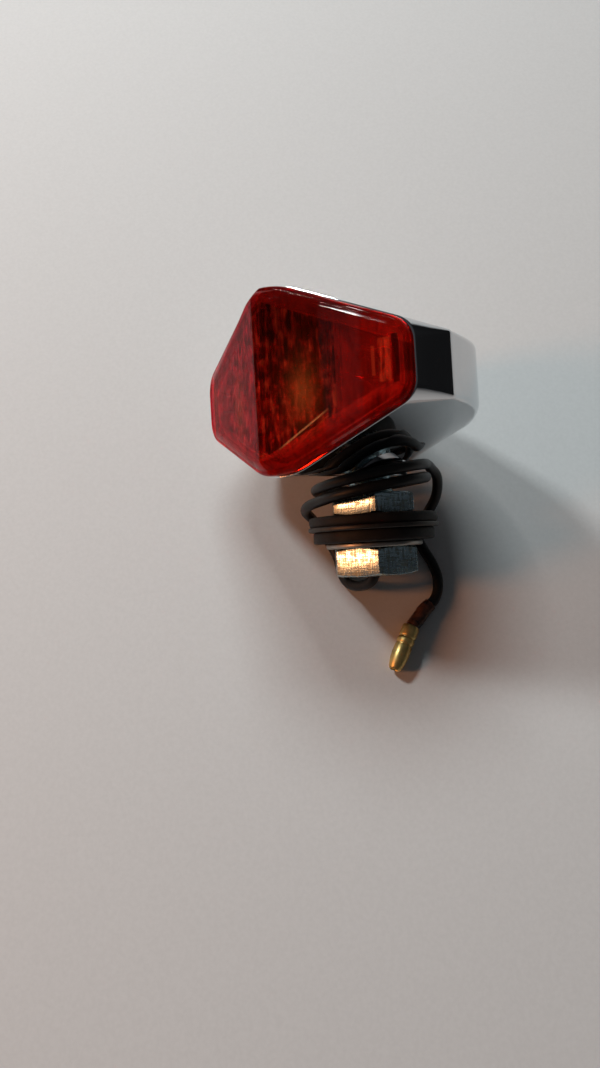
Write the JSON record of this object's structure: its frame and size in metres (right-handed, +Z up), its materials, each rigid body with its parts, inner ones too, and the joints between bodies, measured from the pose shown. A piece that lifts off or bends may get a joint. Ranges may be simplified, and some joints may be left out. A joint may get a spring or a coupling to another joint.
{
  "type": "motorcycle marker light",
  "caption": "Small chromed marker light lying on its side: ridged red lens, hollow threaded stud with clamping nuts and rubber washers, and a lead wound round the stud to a brass bullet.",
  "frame": {"origin": "centre of the mounting stud in the mounting plane, the underside of the upper rubber washer", "axes": "the lamp lies on a table: +Z up, the stud's end points to -Y and a little down, +X to the right of the pictured view, away from the lens"},
  "size_m": [0.0566, 0.0736, 0.0571],
  "materials": {
    "housing": "bright plated",
    "lens": "clear red moulded acrylic",
    "lens_gasket": "matt black",
    "lens_screws": "plated",
    "reflector": "white, glossy",
    "bulb_holder": "tinned",
    "holder_rivets": "satin",
    "bulb_glass": "clear",
    "bulb_cap": "bright",
    "bulb_filament": "satin",
    "contact_plunger": "satin",
    "contact_spring": "satin",
    "insulator_disc": "pressed fibre",
    "feed_terminal": "satin",
    "stud": "plated",
    "stud_spring_washer": "plated",
    "jam_nut": "plated",
    "rubber_washer_upper": "matt black",
    "steel_washer": "plated",
    "rubber_washer_lower": "matt black",
    "plain_washer": "plated",
    "clamp_nut": "plated",
    "lead_grommet": "matt black",
    "inner_lead": "black insulation",
    "lead_exit": "black insulation",
    "lead_winding": "black insulation",
    "lead_tail": "black insulation",
    "lead_sleeve": "reddish-brown sleeving",
    "bullet_connector": "bright"
  },
  "bodies": {
    "lamp": {"housing": "housing", "lens": "lens", "lens_gasket": "lens_gasket", "lens_screws": "lens_screws", "reflector": "reflector", "bulb_holder": "bulb_holder", "holder_rivets": "holder_rivets", "contact_spring": "contact_spring", "insulator_disc": "insulator_disc", "feed_terminal": "feed_terminal", "stud": "stud", "stud_spring_washer": "stud_spring_washer", "jam_nut": "jam_nut", "rubber_washer_upper": "rubber_washer_upper", "lead_grommet": "lead_grommet", "inner_lead": "inner_lead", "lead_exit": "lead_exit", "lead_winding": "lead_winding", "lead_tail": "lead_tail", "lead_sleeve": "lead_sleeve", "bullet_connector": "bullet_connector"},
    "clamp_washers": {"steel_washer": "steel_washer", "rubber_washer_lower": "rubber_washer_lower", "plain_washer": "plain_washer"},
    "clamp_nut": {"clamp_nut": "clamp_nut"},
    "bulb": {"bulb_glass": "bulb_glass", "bulb_cap": "bulb_cap", "bulb_filament": "bulb_filament", "contact_plunger": "contact_plunger"}
  },
  "joints": [
    {"name": "washers_slide", "type": "slide", "parent": "lamp", "child": "clamp_washers", "axis": [0, -0.9442, -0.3294], "range_m": [0, 0.0005]},
    {"name": "nut_turn", "type": "hinge", "parent": "clamp_washers", "child": "clamp_nut", "pos_m": [0, 0, 0], "axis": [0, -0.9442, -0.3294], "range_deg": [0, 120.5]},
    {"name": "bulb_push", "type": "slide", "parent": "lamp", "child": "bulb", "axis": [0.7145, 0.2304, -0.6606], "range_m": [0, 0.0012], "stiffness_N_per_m": 1500, "springref_m": -0.0012, "deforming": ["contact_spring"]}
  ],
  "couplings": [
    {"joint": "nut_turn", "follows": "washers_slide", "rad_per_m": 4188.8}
  ]
}
